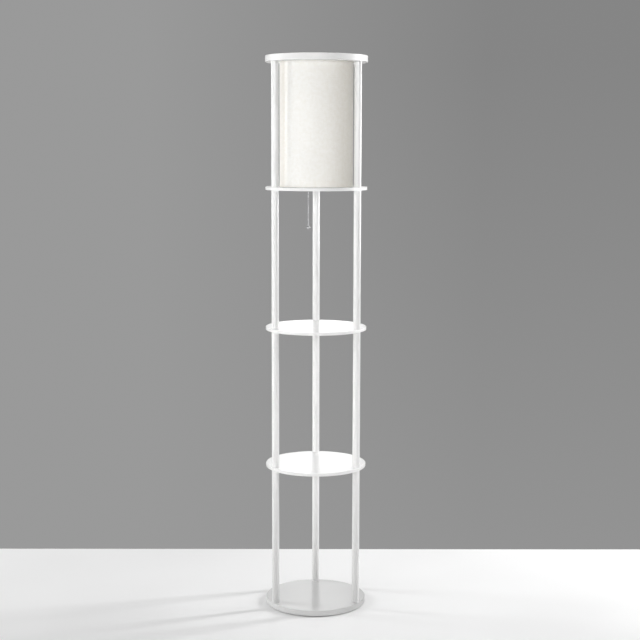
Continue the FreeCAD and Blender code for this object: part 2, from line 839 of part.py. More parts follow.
os.makedirs("parts", exist_ok=True)
for obj in NODES:
    obj.Shape.exportStep(os.path.join("parts", obj.Label + ".step"))
    print("%-16s %2d solid(s) %12.1f mm3" % (obj.Label, len(obj.Shape.Solids), obj.Shape.Volume))
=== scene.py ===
"""Looks of the shelf floor lamp: painted boards and poles, a cloth drum and a bead chain.

Metres, +Z up, the front at -Y, origin on the floor under the middle of the base.
"""

import math

import bmesh
import bpy
from mathutils import Matrix, Vector


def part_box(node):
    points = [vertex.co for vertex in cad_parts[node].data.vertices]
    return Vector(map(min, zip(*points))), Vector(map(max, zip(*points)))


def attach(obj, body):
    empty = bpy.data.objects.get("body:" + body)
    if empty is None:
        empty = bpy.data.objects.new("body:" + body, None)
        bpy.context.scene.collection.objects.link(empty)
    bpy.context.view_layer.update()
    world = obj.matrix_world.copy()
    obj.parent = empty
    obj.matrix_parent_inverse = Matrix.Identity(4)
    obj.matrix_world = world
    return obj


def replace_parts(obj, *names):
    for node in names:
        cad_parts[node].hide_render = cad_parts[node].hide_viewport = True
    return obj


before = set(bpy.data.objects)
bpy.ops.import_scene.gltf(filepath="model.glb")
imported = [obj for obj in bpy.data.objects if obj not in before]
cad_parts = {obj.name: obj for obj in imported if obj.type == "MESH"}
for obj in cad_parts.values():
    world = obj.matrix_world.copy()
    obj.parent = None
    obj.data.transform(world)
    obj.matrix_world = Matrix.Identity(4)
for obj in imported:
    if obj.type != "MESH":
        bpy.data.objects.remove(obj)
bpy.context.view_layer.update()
MM = 0.001

# ------------------------------------------------------------------- the camera
IMAGE_SIDE = 640
FOCAL_LENGTH = 1377.19  # in pixels of an image with that side
SENSOR_WIDTH = 36.0
CAMERA_PLACE = Vector((-0.0014, -3.9456, 1.3341))
CAMERA_TILT = math.radians(7.175)
CAMERA_YAW = math.radians(0.186)
CAMERA_ROLL = math.radians(-0.129)


def make_camera():
    """A camera in front of the lamp, tilted down a little, as it was photographed."""
    data = bpy.data.cameras.new("camera")
    data.sensor_width = SENSOR_WIDTH
    data.lens = FOCAL_LENGTH / IMAGE_SIDE * SENSOR_WIDTH
    camera = bpy.data.objects.new("camera", data)
    bpy.context.collection.objects.link(camera)
    level = math.cos(CAMERA_TILT)
    ahead = Vector((math.sin(CAMERA_YAW) * level, math.cos(CAMERA_YAW) * level,
                    -math.sin(CAMERA_TILT)))
    right = Vector((math.cos(CAMERA_YAW), -math.sin(CAMERA_YAW), 0))
    down = ahead.cross(right)
    across = math.cos(CAMERA_ROLL) * right + math.sin(CAMERA_ROLL) * down
    up = math.sin(CAMERA_ROLL) * right - math.cos(CAMERA_ROLL) * down
    turn = Matrix((across, up, -ahead)).transposed()
    camera.matrix_world = Matrix.Translation(CAMERA_PLACE) @ turn.to_4x4()
    bpy.context.scene.camera = camera


make_camera()


# --------------------------------------------------------------- mesh in code
PIECES = []
SHARP_ANGLE = math.radians(35)
ON_AXIS = 1e-7
HOLE_SEGMENTS = 48
CUT_PAST = 10 * MM  # how far a cutter reaches past what it cuts


def add_object(name, mesh, material, body):
    """Link a mesh as a piece of the lamp that moves with a body."""
    piece = bpy.data.objects.new(name, mesh)
    bpy.context.collection.objects.link(piece)
    mesh.materials.append(material)
    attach(piece, body)
    PIECES.append(piece)
    return piece


def smooth_all():
    """Shade every piece smoothly between its sharp edges, and keep its flat faces flat."""
    for piece in PIECES:
        piece.data.shade_smooth()
        piece.data.set_sharp_from_angle(angle=SHARP_ANGLE)
        piece.modifiers.new("flat_faces", "WEIGHTED_NORMAL").keep_sharp = True


def mesh_from(work, name):
    """Make a mesh of a bmesh, its faces all turned outward."""
    bmesh.ops.recalc_face_normals(work, faces=work.faces)
    mesh = bpy.data.meshes.new(name)
    work.to_mesh(mesh)
    work.free()
    return mesh


def turned_mesh(name, profile, segments, closed=False):
    """Turn (radius, height) points round Z. UVs are metres round and along the profile."""
    work = bmesh.new()
    uv = work.loops.layers.uv.new("metres")
    turns = [2 * math.pi * i / segments for i in range(segments)]
    rings = []
    for radius, z in profile:
        if radius < ON_AXIS:
            rings.append([work.verts.new((0, 0, z))])
        else:
            rings.append([work.verts.new((radius * math.cos(a), radius * math.sin(a), z))
                          for a in turns])
    widest = max(radius for radius, z in profile)
    along = [0.0]
    for (r0, z0), (r1, z1) in zip(profile, profile[1:] + profile[:1]):
        along.append(along[-1] + math.hypot(r1 - r0, z1 - z0))
    count = len(rings) if closed else len(rings) - 1
    for k in range(count):
        low, high = rings[k], rings[(k + 1) % len(rings)]
        for i in range(segments):
            j = (i + 1) % segments
            loop = [(low[i % len(low)], i, k), (low[j % len(low)], i + 1, k),
                    (high[j % len(high)], i + 1, k + 1), (high[i % len(high)], i, k + 1)]
            if len(low) == 1:
                loop.pop(1)
            if len(high) == 1:
                loop.pop(2)
            if len(loop) < 3:
                continue
            face = work.faces.new([corner[0] for corner in loop])
            for corner, (vert, step, ring) in zip(face.loops, loop):
                corner[uv].uv = (2 * math.pi * widest * step / segments, along[ring])
    return mesh_from(work, name)


def rounded(corners, radius, steps=4):
    """The outline through the corners, with every corner rounded off."""
    points = []
    for i, corner in enumerate(corners):
        here = Vector(corner)
        before = (Vector(corners[i - 1]) - here).normalized()
        after = (Vector(corners[(i + 1) % len(corners)]) - here).normalized()
        half = before.angle(after) / 2
        reach = radius / math.tan(half)
        centre = here + (before + after).normalized() * (radius / math.sin(half))
        start = here + before * reach - centre
        end = here + after * reach - centre
        for k in range(steps + 1):
            points.append(tuple(centre + radius * start.slerp(end, k / steps)))
    return points


def cutter_of(mesh):
    """Link a mesh as a cutter, which cut_from removes again."""
    cutter = bpy.data.objects.new("cutter", mesh)
    bpy.context.collection.objects.link(cutter)
    return cutter


def rod_cutter(radius, low, high, x=0.0, y=0.0):
    """An upright rod that cuts a hole."""
    outline = [(0, low), (radius, low), (radius, high), (0, high)]
    cutter = cutter_of(turned_mesh("cutter", outline, HOLE_SEGMENTS))
    cutter.location = (x, y, 0)
    return cutter


def cut_from(piece, cutters):
    """Cut the cutters' meshes out of a piece, and remove them."""
    for cutter in cutters:
        change = piece.modifiers.new("cut", "BOOLEAN")
        change.operation = "DIFFERENCE"
        change.solver = "EXACT"
        change.object = cutter
    depsgraph = bpy.context.evaluated_depsgraph_get()
    mesh = bpy.data.meshes.new_from_object(piece.evaluated_get(depsgraph))
    piece.modifiers.clear()
    piece.data = mesh
    for cutter in cutters:
        bpy.data.objects.remove(cutter)


def shifted(mesh, x, y=0.0):
    """Move a mesh's points sideways."""
    mesh.transform(Matrix.Translation((x, y, 0)))
    return mesh


# -------------------------------------------------------------- material nodes
def new_material(name, colour, roughness, metallic=0.0):
    """A material with its shader, ready for texture nodes."""
    material = bpy.data.materials.new(name)
    material.use_nodes = True
    shader = material.node_tree.nodes["Principled BSDF"]
    shader.inputs["Base Color"].default_value = (*colour, 1)
    shader.inputs["Roughness"].default_value = roughness
    shader.inputs["Metallic"].default_value = metallic
    return material, shader


def add_node(material, kind, **settings):
    """Add a node, with its settings."""
    node = material.node_tree.nodes.new(kind)
    for name, value in settings.items():
        setattr(node, name, value)
    return node


def join(material, source, target):
    """Lead one socket into another."""
    material.node_tree.links.new(source, target)


def coordinates(material, kind, stretch=(1, 1, 1)):
    """Texture coordinates, stretched by a factor along each axis."""
    source = add_node(material, "ShaderNodeTexCoord")
    mapping = add_node(material, "ShaderNodeMapping")
    mapping.inputs["Scale"].default_value = stretch
    join(material, source.outputs[kind], mapping.inputs["Vector"])
    return mapping.outputs["Vector"]


def parts_of(material, vector):
    """A vector's X, Y and Z, by name."""
    split = add_node(material, "ShaderNodeSeparateXYZ")
    join(material, vector, split.inputs["Vector"])
    return split.outputs


def noise(material, place, scale, detail=2.0, rough=0.5):
    """Smooth noise, from about 0.3 to 0.7."""
    node = add_node(material, "ShaderNodeTexNoise")
    node.inputs["Scale"].default_value = scale
    node.inputs["Detail"].default_value = detail
    node.inputs["Roughness"].default_value = rough
    join(material, place, node.inputs["Vector"])
    return node.outputs["Fac"]


def spread(material, value, low, high, start=0.3, end=0.7):
    """Map a value's range from start to end, by default a noise's, onto low to high."""
    node = add_node(material, "ShaderNodeMapRange")
    for name, number in (("From Min", start), ("From Max", end), ("To Min", low),
                         ("To Max", high)):
        node.inputs[name].default_value = number
    join(material, value, node.inputs["Value"])
    return node.outputs["Result"]


def blend_of(material, first, second, operation="ADD", factor=1.0):
    """Join two values by an operation, the second one first scaled by the factor."""
    scaled = add_node(material, "ShaderNodeMath", operation="MULTIPLY")
    join(material, second, scaled.inputs[0])
    scaled.inputs[1].default_value = factor
    node = add_node(material, "ShaderNodeMath", operation=operation)
    join(material, first, node.inputs[0])
    join(material, scaled.outputs[0], node.inputs[1])
    return node.outputs[0]


def tint(material, value, dark, light, target):
    """Give a colour socket a tone between two, by a value from 0 to 1."""
    first, second, result = 6, 7, 2  # the mix node's colour sockets
    node = add_node(material, "ShaderNodeMix", data_type="RGBA")
    node.inputs[first].default_value = (*dark, 1)
    node.inputs[second].default_value = (*light, 1)
    join(material, value, node.inputs["Factor"])
    join(material, node.outputs[result], target)


def mottle(material, shader, texture, dark, light):
    """Let the shader's colour vary between two tones with a noise."""
    tint(material, spread(material, texture, 0, 1), dark, light, shader.inputs["Base Color"])


def smear(material, shader, texture, low, high):
    """Let the shader's roughness vary between two values with a noise."""
    join(material, spread(material, texture, low, high), shader.inputs["Roughness"])


def bump(material, shader, height, depth, strength):
    """Relief of a depth, with no change of the shape."""
    node = add_node(material, "ShaderNodeBump")
    node.inputs["Strength"].default_value = strength
    node.inputs["Distance"].default_value = depth
    join(material, height, node.inputs["Height"])
    join(material, node.outputs["Normal"], shader.inputs["Normal"])


# ---------------------------------------------------------------- the materials
WHITE = (0.76, 0.76, 0.755)
WHITE_LOW = (0.752, 0.752, 0.746)
FACE_ROUGHNESS = 0.22
RIM_ROUGHNESS = 0.42
POLE_ROUGHNESS = 0.2


def painted_board():
    """Satin white paint on fibreboard, with a faint orange peel, and duller on the rims."""
    material, shader = new_material("satin_board_paint", WHITE, FACE_ROUGHNESS)
    place = coordinates(material, "Object")
    mottle(material, shader, noise(material, place, 9, 3), WHITE_LOW, (0.768, 0.768, 0.763))
    facing = parts_of(material, coordinates(material, "Normal"))
    level = add_node(material, "ShaderNodeMath", operation="ABSOLUTE")
    join(material, facing["Z"], level.inputs[0])
    dull = spread(material, level.outputs[0], RIM_ROUGHNESS, FACE_ROUGHNESS, 0.2, 0.9)
    patchy = spread(material, noise(material, place, 25, 4), -0.005, 0.005)
    join(material, blend_of(material, dull, patchy), shader.inputs["Roughness"])
    peel = noise(material, place, 260, 2)
    dust = noise(material, place, 1600, 1)
    bump(material, shader, blend_of(material, peel, dust, factor=0.15), 0.005 * MM, 0.5)
    return material


def painted_pole():
    """The same paint on turned wood, whose grain shows faintly along the pole."""
    material, shader = new_material("satin_pole_paint", WHITE, POLE_ROUGHNESS)
    place = coordinates(material, "Object")
    mottle(material, shader, noise(material, place, 14, 3), WHITE_LOW, (0.77, 0.77, 0.765))
    smear(material, shader, noise(material, place, 30, 3),
          POLE_ROUGHNESS - 0.01, POLE_ROUGHNESS + 0.01)
    grain = noise(material, coordinates(material, "Object", (1, 1, 0.03)), 900, 4, 0.6)
    peel = noise(material, place, 300, 2)
    bump(material, shader, blend_of(material, peel, grain, factor=0.5), 0.003 * MM, 0.5)
    return material


def crossed_threads(material, pitch, wandering):
    """Two crossing sets of threads, which wander a little, so that none is quite straight."""
    place = parts_of(material, coordinates(material, "UV"))
    wander = noise(material, coordinates(material, "UV", (25, 25, 1)), 3, 2)
    sets = []
    for axis in ("X", "Y"):
        shaken = blend_of(material, place[axis], wander, factor=wandering)
        wave = add_node(material, "ShaderNodeMath", operation="MULTIPLY")
        join(material, shaken, wave.inputs[0])
        wave.inputs[1].default_value = 2 * math.pi / pitch
        sine = add_node(material, "ShaderNodeMath", operation="SINE")
        join(material, wave.outputs[0], sine.inputs[0])
        sets.append(spread(material, sine.outputs[0], 0, 1, -1, 1))
    return blend_of(material, sets[0], sets[1], "MAXIMUM")


def thick_places(material):
    """Slubs: thick places, long and thin, along either set of threads."""
    slubs = []
    for stretch in ((45, 620, 1), (620, 30, 1)):
        texture = noise(material, coordinates(material, "UV", stretch), 1, 3)
        slubs.append(spread(material, texture, 0, 1, 0.45, 0.75))
    return blend_of(material, *slubs)


def woven_cloth():
    """Off-white slub cloth, closer woven in some places, that lies a little unevenly."""
    material, shader = new_material("slub_cloth", (0.92, 0.9, 0.87), 0.92)
    weave = crossed_threads(material, 1.1 * MM, 0.8 * MM)
    slubs = thick_places(material)
    closeness = noise(material, coordinates(material, "UV"), 95, 4, 0.6)
    tone = blend_of(material, spread(material, closeness, 0.25, 0.85), slubs, factor=0.3)
    tone = blend_of(material, tone, weave, factor=0.12)
    tint(material, tone, (0.84, 0.798, 0.71), (0.92, 0.893, 0.838),
         shader.inputs["Base Color"])
    uneven = noise(material, coordinates(material, "UV", (0.7, 1.4, 1)), 80, 3)
    relief = blend_of(material, weave, slubs, factor=0.8)
    relief = blend_of(material, relief, uneven, factor=1.6)
    bump(material, shader, relief, 0.12 * MM, 0.9)
    shader.inputs["Sheen Weight"].default_value = 0.15
    shader.inputs["Sheen Roughness"].default_value = 0.6
    return material


def liner_film():
    """The smooth white film inside the drum."""
    material, shader = new_material("liner_film", (0.88, 0.87, 0.85), 0.45)
    place = coordinates(material, "Object")
    smear(material, shader, noise(material, place, 20, 3), 0.38, 0.55)
    bump(material, shader, noise(material, place, 60, 2), 0.2 * MM, 0.2)
    return material


def metal(name, colour, roughness, uneven=0.08):
    """A plated or bare metal whose gloss and tone vary a little."""
    material, shader = new_material(name, colour, roughness, metallic=1.0)
    place = coordinates(material, "Object")
    smear(material, shader, noise(material, place, 120, 3),
          roughness - uneven, roughness + uneven)
    darker = [0.9 * part for part in colour]
    mottle(material, shader, noise(material, place, 40), darker, colour)
    bump(material, shader, noise(material, place, 960, 2), 0.03 * MM, 0.3)
    return material


def moulded(name, colour, roughness, scale=300):
    """Moulded plastic, enamel or pressed felt, with a fine grain."""
    material, shader = new_material(name, colour, roughness)
    place = coordinates(material, "Object")
    darker = [0.85 * part for part in colour]
    mottle(material, shader, noise(material, place, scale, 3), darker, colour)
    bump(material, shader, noise(material, place, 3 * scale, 2), 0.1 * MM, 0.4)
    return material


def opal_glass():
    """The bulb's opal envelope."""
    material, shader = new_material("opal_glass", (0.92, 0.91, 0.89), 0.22)
    place = coordinates(material, "Object")
    mottle(material, shader, noise(material, place, 40, 2),
           (0.89, 0.88, 0.86), (0.94, 0.93, 0.91))
    bump(material, shader, noise(material, place, 300, 2), 0.04 * MM, 0.2)
    shader.inputs["Coat Weight"].default_value = 0.3
    return material


BOARD_PAINT = painted_board()
POLE_PAINT = painted_pole()
CLOTH = woven_cloth()
LINER = liner_film()
CHROME = metal("bright_chrome", (0.55, 0.55, 0.56), 0.06, uneven=0.03)
CHAIN_PLATE = metal("bead_nickel", (0.5, 0.5, 0.51), 0.06, uneven=0.03)
ZINC = metal("zinc_plate", (0.72, 0.72, 0.7), 0.35)
ALUMINIUM = metal("drawn_aluminium", (0.83, 0.83, 0.82), 0.3)
BRASS = metal("bare_brass", (0.8, 0.64, 0.35), 0.3)
WIRE_ENAMEL = moulded("white_enamel", (0.86, 0.86, 0.84), 0.4, scale=500)
BLACK_NYLON = moulded("black_nylon", (0.03, 0.03, 0.03), 0.45)
IVORY_RESIN = moulded("ivory_resin", (0.82, 0.79, 0.7), 0.35)
GREY_FELT = moulded("grey_felt", (0.33, 0.33, 0.32), 0.95, scale=900)
OPAL = opal_glass()


# ---------------------------------------------------------- the boards and poles
DISC_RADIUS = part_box("base_disc")[1].x
RIM_ROUNDING = 1.2 * MM
BOARD_SEGMENTS = 192
PIPE_HOLE = 5.3 * MM
BOLT_HOLE = 4.3 * MM
HOLE_RADIUS = {"rear": PIPE_HOLE, "left": BOLT_HOLE, "right": BOLT_HOLE}
COUNTERBORE_RADIUS = 9 * MM
COUNTERBORE_DEPTH = 10 * MM
EYELET_LAP = 0.1 * MM  # how much smaller its hole is than the eyelet
RING_BORE = 112 * MM
RING_HOLE_DEPTH = 13 * MM
POLE_RADIUS = (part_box("post_rear_1")[1].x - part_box("post_rear_1")[0].x) / 2
POLE_EASING = 0.5 * MM
POLE_SEGMENTS = 64
LINES = {}
for line in ("rear", "left", "right"):
    low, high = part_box("post_%s_1" % line)
    LINES[line] = ((low.x + high.x) / 2, (low.y + high.y) / 2)


def heights_of(node):
    """The lowest and highest point of a CAD node."""
    low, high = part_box(node)
    return low.z, high.z


def board(name, node, extra_cutters=()):
    """A round board with softened edges and a hole for each post line."""
    low, high = heights_of(node)
    inner = DISC_RADIUS / 2
    section = rounded([(inner, low), (DISC_RADIUS, low), (DISC_RADIUS, high), (inner, high)],
                      RIM_ROUNDING)
    rim = [point for point in section if point[0] > DISC_RADIUS - 2 * RIM_ROUNDING]
    mesh = turned_mesh(name, [(0, low)] + rim + [(0, high)], BOARD_SEGMENTS)
    piece = add_object(name, mesh, BOARD_PAINT, "frame")
    cutters = [rod_cutter(HOLE_RADIUS[line], low - CUT_PAST, high + CUT_PAST, *LINES[line])
               for line in LINES]
    cut_from(piece, cutters + list(extra_cutters))
    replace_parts(piece, node)
    return piece


def base_board():
    """The base, with its counterbores and the rear outlet of the mains lead."""
    low = heights_of("base_disc")[0]
    sinks = [rod_cutter(COUNTERBORE_RADIUS, low - CUT_PAST, low + COUNTERBORE_DEPTH, *LINES[line])
             for line in LINES]
    outlet_low, outlet_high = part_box("lead_bushing")
    outlet = rod_cutter((outlet_high.x - outlet_low.x) / 2, LINES["rear"][1],
                        DISC_RADIUS + 2 * CUT_PAST)
    outlet.rotation_euler = (math.radians(-90), 0, 0)
    outlet.location = (0, 0, (outlet_low.z + outlet_high.z) / 2)
    return board("base_board", "base_disc", sinks + [outlet])


def platform_board():
    """The lamp platform, with the holes for the socket's nipple and the pull chain."""
    low, high = heights_of("lamp_platform")
    eye_low, eye_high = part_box("chain_eyelet")
    holes = [rod_cutter(PIPE_HOLE, low - CUT_PAST, high + CUT_PAST),
             rod_cutter((eye_high.x - eye_low.x) / 2 - EYELET_LAP, low - CUT_PAST,
                        high + CUT_PAST, (eye_low.x + eye_high.x) / 2)]
    board("platform_board", "lamp_platform", holes)


def ring_board():
    """The top ring, its bore and rim softened alike, with blind holes from below."""
    low, high = heights_of("top_ring")
    section = rounded([(RING_BORE, low), (DISC_RADIUS, low), (DISC_RADIUS, high),
                       (RING_BORE, high)], RIM_ROUNDING)
    mesh = turned_mesh("ring_board", section, BOARD_SEGMENTS, closed=True)
    piece = add_object("ring_board", mesh, BOARD_PAINT, "frame")
    cut_from(piece, [rod_cutter(HOLE_RADIUS[line], low - CUT_PAST, low + RING_HOLE_DEPTH,
                                *LINES[line]) for line in LINES])
    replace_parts(piece, "top_ring")


def pole(line, number):
    """One pole, its ends eased so that a fine line shows at each board."""
    node = "post_%s_%d" % (line, number)
    low, high = heights_of(node)
    bore = HOLE_RADIUS[line]
    section = rounded([(bore, low), (POLE_RADIUS, low), (POLE_RADIUS, high), (bore, high)],
                      POLE_EASING, 3)
    mesh = turned_mesh(node + "_pole", section, POLE_SEGMENTS, closed=True)
    piece = add_object(node + "_pole", shifted(mesh, *LINES[line]), POLE_PAINT,
                       "frame")
    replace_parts(piece, node)


BASE_BOARD = base_board()
board("lower_board", "lower_shelf")
board("middle_board", "middle_shelf")
platform_board()
ring_board()
for line in LINES:
    for number in range(1, 5):
        pole(line, number)


# ---------------------------------------------------------------------- the shade
DRUM_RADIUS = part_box("shade_drum")[1].x
DRUM_WALL = 0.8 * MM
DRUM_SEGMENTS = 160
CLOTH_THICKNESS = 0.4 * MM
CLOTH_EDGE_ROUNDING = 0.15 * MM
FILM_CLEARANCE = 0.02 * MM
FILM_SETBACK = 2 * MM
WIRE_RADIUS = 1.2 * MM


def drum_piece(name, profile, material):
    """A piece of the drum, turned from its profile."""
    mesh = turned_mesh(name, profile, DRUM_SEGMENTS, closed=True)
    return add_object(name, mesh, material, "frame")


def shade():
    """Cloth on a stiff film, turned in over a wire ring at each end, with a rear seam."""
    foot, head = heights_of("shade_drum")
    cloth_inner = DRUM_RADIUS - CLOTH_THICKNESS
    corners = [(cloth_inner, foot), (DRUM_RADIUS, foot), (DRUM_RADIUS, head),
               (cloth_inner, head)]
    cloth = drum_piece("shade_cloth", rounded(corners, CLOTH_EDGE_ROUNDING, 3), CLOTH)
    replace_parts(cloth, "shade_drum")
    film_inner, film_outer = DRUM_RADIUS - DRUM_WALL, cloth_inner - FILM_CLEARANCE
    film_foot, film_head = foot + FILM_SETBACK, head - FILM_SETBACK
    drum_piece("shade_liner", [(film_inner, film_foot), (film_outer, film_foot),
                               (film_outer, film_head), (film_inner, film_head)], LINER)
    hems = [hem("shade_hem_foot", foot, 1), hem("shade_hem_head", head, -1)]
    seam = rear_seam(foot, head)
    return [cloth] + hems + [seam]


def hem(name, edge, inward):
    """The cloth's edge, turned in round the wire ring, seen as a soft band."""
    width, tuck, fold, step = 9 * MM, 7 * MM, 1 * MM, 0.6 * MM
    face = DRUM_RADIUS + 0.25 * MM
    inside = DRUM_RADIUS - DRUM_WALL - 2 * WIRE_RADIUS
    tuck_inner, tuck_outer = DRUM_RADIUS - 1.2 * MM, DRUM_RADIUS - 0.7 * MM
    under_wire = 3.2 * MM
    middle, half = (face + inside) / 2, (face - inside) / 2
    outline = [(DRUM_RADIUS, width), (face, width - step), (face, fold)]
    for k in range(1, 8):
        turn = math.pi * k / 8
        outline.append((middle + half * math.cos(turn), fold - fold * math.sin(turn)))
    outline += [(inside, fold), (tuck_inner, under_wire), (tuck_inner, tuck),
                (tuck_outer, tuck), (tuck_outer, width)]
    return drum_piece(name, [(radius, edge + inward * rise) for radius, rise in outline], CLOTH)


def rear_seam(foot, head):
    """The cloth's overlap, glued down the back of the drum."""
    width, proud, sunk, setback = 10 * MM, 0.3 * MM, 0.05 * MM, 0.5 * MM
    cut_edge = 0.2  # share of its height at which the overlap's edge ends
    work = bmesh.new()
    uv = work.loops.layers.uv.new("metres")
    steps = 6
    columns = []
    for i in range(steps + 1):
        turn = math.pi / 2 + (i / steps - 0.5) * width / DRUM_RADIUS
        lift = proud * min(1.0, 4 * i / steps, 4 * (steps - i) / steps + cut_edge)
        columns.append([[work.verts.new((r * math.cos(turn), r * math.sin(turn), z))
                         for z in (foot + setback, head - setback)]
                        for r in (DRUM_RADIUS - sunk, DRUM_RADIUS + lift)])
    for left, right in zip(columns, columns[1:]):
        for side in (0, 1):
            work.faces.new((left[side][0], right[side][0], right[side][1], left[side][1]))
        for end in (0, 1):
            work.faces.new((left[0][end], right[0][end], right[1][end], left[1][end]))
    for column in (columns[0], columns[-1]):
        work.faces.new((column[0][0], column[1][0], column[1][1], column[0][1]))
    for face in work.faces:
        for corner in face.loops:
            place = corner.vert.co
            corner[uv].uv = (math.atan2(place.y, place.x) * DRUM_RADIUS, place.z)
    return add_object("shade_seam", mesh_from(work, "shade_seam"), CLOTH,
                      "frame")


SHADE_PIECES = shade()


# ------------------------------------------------------------ the socket and bulb
SOCKET_SEGMENTS = 72
GLOBE_SEGMENTS = 96
THREAD_PITCH = 3.6 * MM


def lever_slot():
    """The cutter for the opening that the switch lever sticks out of."""
    low, high = heights_of("lever_axle")
    length, width, height = 12 * MM, 6.4 * MM, 14 * MM
    wall_place = -16 * MM
    work = bmesh.new()
    bmesh.ops.create_cube(work, size=1)
    bmesh.ops.scale(work, vec=(length, width, height), verts=work.verts)
    bmesh.ops.translate(work, vec=(wall_place, 0, (low + high) / 2), verts=work.verts)
    return cutter_of(mesh_from(work, "cutter"))


def socket():
    """A drawn cup with a rounded foot, two rolled grooves and a slot for the lever."""
    low, high = heights_of("socket_shell")
    outer = -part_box("socket_shell")[0].x
    wall, floor, corner = 0.6 * MM, 0.8 * MM, 3 * MM
    groove_depth, groove_half = 0.5 * MM, 1 * MM
    lip_rise, lip_run = 0.5 * MM, 0.3 * MM
    profile = [(PIPE_HOLE, low), (outer - corner, low)]
    for k in range(1, 6):
        turn = math.pi / 2 * k / 5
        profile.append((outer - corner + corner * math.sin(turn),
                        low + corner - corner * math.cos(turn)))
    for share in (0.34, 0.64):
        middle = low + (high - low) * share
        profile += [(outer, middle - groove_half),
                    (outer - groove_depth, middle - groove_half / 2),
                    (outer - groove_depth, middle + groove_half / 2),
                    (outer, middle + groove_half)]
    profile += [(outer, high - lip_rise), (outer - lip_run, high), (outer - wall, high),
                (outer - wall, low + corner), (outer - corner, low + floor),
                (PIPE_HOLE, low + floor)]
    mesh = turned_mesh("socket_cup", profile, SOCKET_SEGMENTS, closed=True)
    cup = add_object("socket_cup", mesh, ALUMINIUM, "frame")
    cut_from(cup, [lever_slot()])
    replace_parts(cup, "socket_shell")


def threaded(low, high, radius, depth):
    """The outside of a rolled thread, from its foot to its head."""
    count = int((high - low) / THREAD_PITCH * 6)
    points = []
    for i in range(count + 1):
        z = low + (high - low) * i / count
        wave = math.cos(2 * math.pi * (z - low) / THREAD_PITCH)
        points.append((radius - depth * (1 - wave) / 2, z))
    return points


def screw_sleeve():
    """The socket's threaded sleeve."""
    outside = threaded(*heights_of("screw_shell"), 13.9 * MM, 0.4 * MM)
    wall = 0.35 * MM
    inside = [(radius - wall, z) for radius, z in reversed(outside)]
    mesh = turned_mesh("screw_sleeve", outside + inside, SOCKET_SEGMENTS, closed=True)
    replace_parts(add_object("screw_sleeve", mesh, BRASS, "frame"), "screw_shell")


def screw_cap():
    """The bulb's cap: contact tip, insulating cone, rolled thread and a plain collar."""
    low, high = heights_of("bulb_cap")
    tip = [(0, 0), (4 * MM, 0), (5 * MM, 0.5 * MM), (5.2 * MM, 1.2 * MM)]
    cone = [(11 * MM, 3.6 * MM), (12.2 * MM, 4.2 * MM)]
    thread_foot, thread_head = low + 4.4 * MM, high - 3 * MM
    collar_foot, collar_radius = high - 2 * MM, 12.6 * MM
    outline = [(radius, low + rise) for radius, rise in tip + cone]
    outline += threaded(thread_foot, thread_head, 12.95 * MM, 0.8 * MM)
    outline += [(collar_radius, collar_foot), (collar_radius, high), (0, high)]
    mesh = turned_mesh("screw_cap", outline, SOCKET_SEGMENTS)
    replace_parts(add_object("screw_cap", mesh, ALUMINIUM, "bulb"), "bulb_cap")


def opal_globe():
    """A round envelope on a collar that widens up to it."""
    low, high = heights_of("bulb_globe")
    radius = 29.9 * MM
    middle = high - radius
    collar = [(13 * MM, 0), (13.3 * MM, 1 * MM), (15.2 * MM, 12 * MM), (16.4 * MM, 18 * MM)]
    outline = [(0, low)] + [(reach, low + rise) for reach, rise in collar]
    start, steps = math.radians(-42), 20
    for k in range(steps):
        turn = start + (math.pi / 2 - start) * k / steps
        outline.append((radius * math.cos(turn), middle + radius * math.sin(turn)))
    outline.append((0, high))
    mesh = turned_mesh("opal_globe", outline, GLOBE_SEGMENTS)
    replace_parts(add_object("opal_globe", mesh, OPAL, "bulb"), "bulb_globe")


socket()
screw_sleeve()
screw_cap()
opal_globe()


# ----------------------------------------------------------------- the pull chain
BEAD_RADIUS = 1.6 * MM
LINK_RADIUS = 0.45 * MM
BEAD_PITCH = 4.5 * MM
STOP_RISE = 0.95 * BEAD_RADIUS  # from the middle of the stop bead to the chain's end
FORK_SPAN = 6.73 * MM  # from the bead over the lever's fork to the one below it
CHAIN_X = (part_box("pull_ball")[0].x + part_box("pull_ball")[1].x) / 2


def arc(radius, z, start, end, steps):
    """Points on a ball's outline between two latitudes, in degrees."""
    turns = [math.radians(start + (end - start) * k / steps) for k in range(steps + 1)]
    return [(radius * math.cos(a), z + radius * math.sin(a)) for a in turns]


def beads_below(first, low):
    """The middles of the beads from the first down to the last that fits, foot first."""
    count = int((first - low - BEAD_RADIUS) / BEAD_PITCH)
    return [first - k * BEAD_PITCH for k in range(count, -1, -1)]


def chain_piece(name, node, body, outline, segments, material=CHAIN_PLATE):
    """A round piece on the chain's line, in place of its CAD node."""
    closed = outline[0][0] > ON_AXIS
    mesh = shifted(turned_mesh(name, outline, segments, closed), CHAIN_X)
    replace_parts(add_object(name, mesh, material, body), node)


def bead_chain(name, node, body, centres):
    """A run of hollow beads and the links between them."""
    low, high = heights_of(node)
    edge = math.degrees(math.acos(LINK_RADIUS / BEAD_RADIUS))
    outline = [(0, low), (LINK_RADIUS, low)]
    for z in centres:
        outline += arc(BEAD_RADIUS, z, -edge, edge, 12)
    outline += [(LINK_RADIUS, high), (0, high)]
    chain_piece(name, node, body, outline, 20)


def upper_beads():
    """The chain from the bead over the lever's fork down to the coupling."""
    low, high = heights_of("upper_chain")
    stop = high - STOP_RISE
    bead_chain("upper_beads", "upper_chain", "chain_upper",
               beads_below(stop - FORK_SPAN, low) + [stop])


def lower_beads():
    """The chain from the coupling down to the ball."""
    low, high = heights_of("lower_chain")
    bead_chain("lower_beads", "lower_chain", "chain_lower",
               beads_below(high - BEAD_RADIUS, low))


